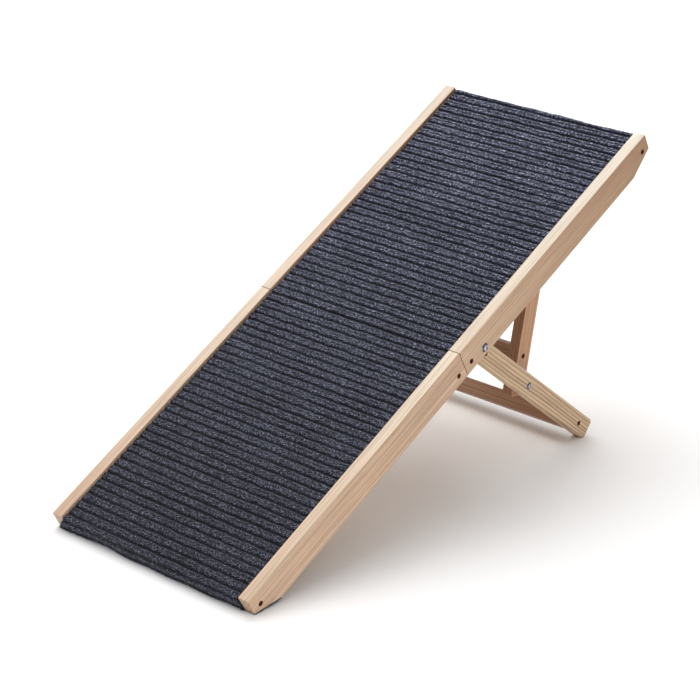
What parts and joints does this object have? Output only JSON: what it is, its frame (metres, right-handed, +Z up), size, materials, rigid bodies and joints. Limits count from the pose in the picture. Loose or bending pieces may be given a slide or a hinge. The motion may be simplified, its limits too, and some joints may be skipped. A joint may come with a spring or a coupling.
{
  "type": "dog ramp",
  "caption": "Folding wooden dog ramp: hinged ribbed-carpet panels between side rails, on a pivoting leg frame held by a brace frame",
  "frame": {"origin": "centre of the bounding box on the floor it stands on", "axes": "+Z up; the walking surface rises towards +Y; +X is across, to the right of someone walking up"},
  "size_m": [0.408, 0.896, 0.4943],
  "materials": {
    "pine_rail": "sanded clear pine, satin",
    "pine_leg": "sanded pine with strong growth rings",
    "plywood": "unfinished poplar plywood",
    "carpet": "ribbed needle-felt carpet, charcoal navy heather",
    "rubber": "matte black rubber",
    "zinc_steel": "zinc-plated steel",
    "dark_screw": "yellow-zinc screw in a dark hole",
    "bolt_chrome": "bright plated bolt head"
  },
  "bodies": {
    "upper_panel": {"height_rack_left": "pine_rail", "height_rack_right": "pine_rail", "hinge_left_pin": "zinc_steel", "hinge_left_upper_leaf": "zinc_steel", "hinge_right_pin": "zinc_steel", "hinge_right_upper_leaf": "zinc_steel", "hinge_screws_upper": "dark_screw", "leg_pivot_bolts": "bolt_chrome", "leg_pivot_nuts": "zinc_steel", "leg_pivot_spacers": "zinc_steel", "rack_screws": "dark_screw", "upper_carpet": "carpet", "upper_deck": "plywood", "upper_end_crossbar": "pine_rail", "upper_rail_left": "pine_rail", "upper_rail_right": "pine_rail", "upper_rail_screws": "dark_screw", "upper_seam_crossbar": "pine_rail"},
    "lower_panel": {"foot_pad_left": "rubber", "foot_pad_right": "rubber", "hinge_left_lower_leaf": "zinc_steel", "hinge_right_lower_leaf": "zinc_steel", "hinge_screws_lower": "dark_screw", "lower_carpet": "carpet", "lower_deck": "plywood", "lower_nose_crossbar": "pine_rail", "lower_rail_left": "pine_rail", "lower_rail_right": "pine_rail", "lower_rail_screws": "dark_screw", "lower_seam_crossbar": "pine_rail"},
    "leg_frame": {"brace_pivot_bolts": "bolt_chrome", "brace_pivot_nuts": "zinc_steel", "brace_pivot_washers": "zinc_steel", "leg_bottom_crossbar": "pine_leg", "leg_frame_screws": "dark_screw", "leg_left": "pine_leg", "leg_right": "pine_leg", "leg_top_crossbar": "pine_leg"},
    "brace_frame": {"brace_crossbar": "pine_leg", "brace_dowel": "pine_leg", "brace_frame_screws": "dark_screw", "brace_strut_left": "pine_leg", "brace_strut_right": "pine_leg"}
  },
  "joints": [
    {"name": "panel_fold", "type": "hinge", "parent": "upper_panel", "child": "lower_panel", "pos_m": [0, 0.01624, 0.21675], "axis": [1, 0, 0], "range_deg": [0, 180]},
    {"name": "leg_pivot", "type": "hinge", "parent": "upper_panel", "child": "leg_frame", "pos_m": [0, 0.05316, 0.25168], "axis": [1, 0, 0], "range_deg": [0, 62.1]},
    {"name": "brace_pivot", "type": "hinge", "parent": "leg_frame", "child": "brace_frame", "pos_m": [0, 0.19895, 0.13778], "axis": [1, 0, 0], "range_deg": [-108, 0]}
  ],
  "couplings": [
    {"joint": "leg_pivot", "follows": "panel_fold", "ratio": 0.345},
    {"joint": "brace_pivot", "follows": "panel_fold", "ratio": -0.6}
  ]
}
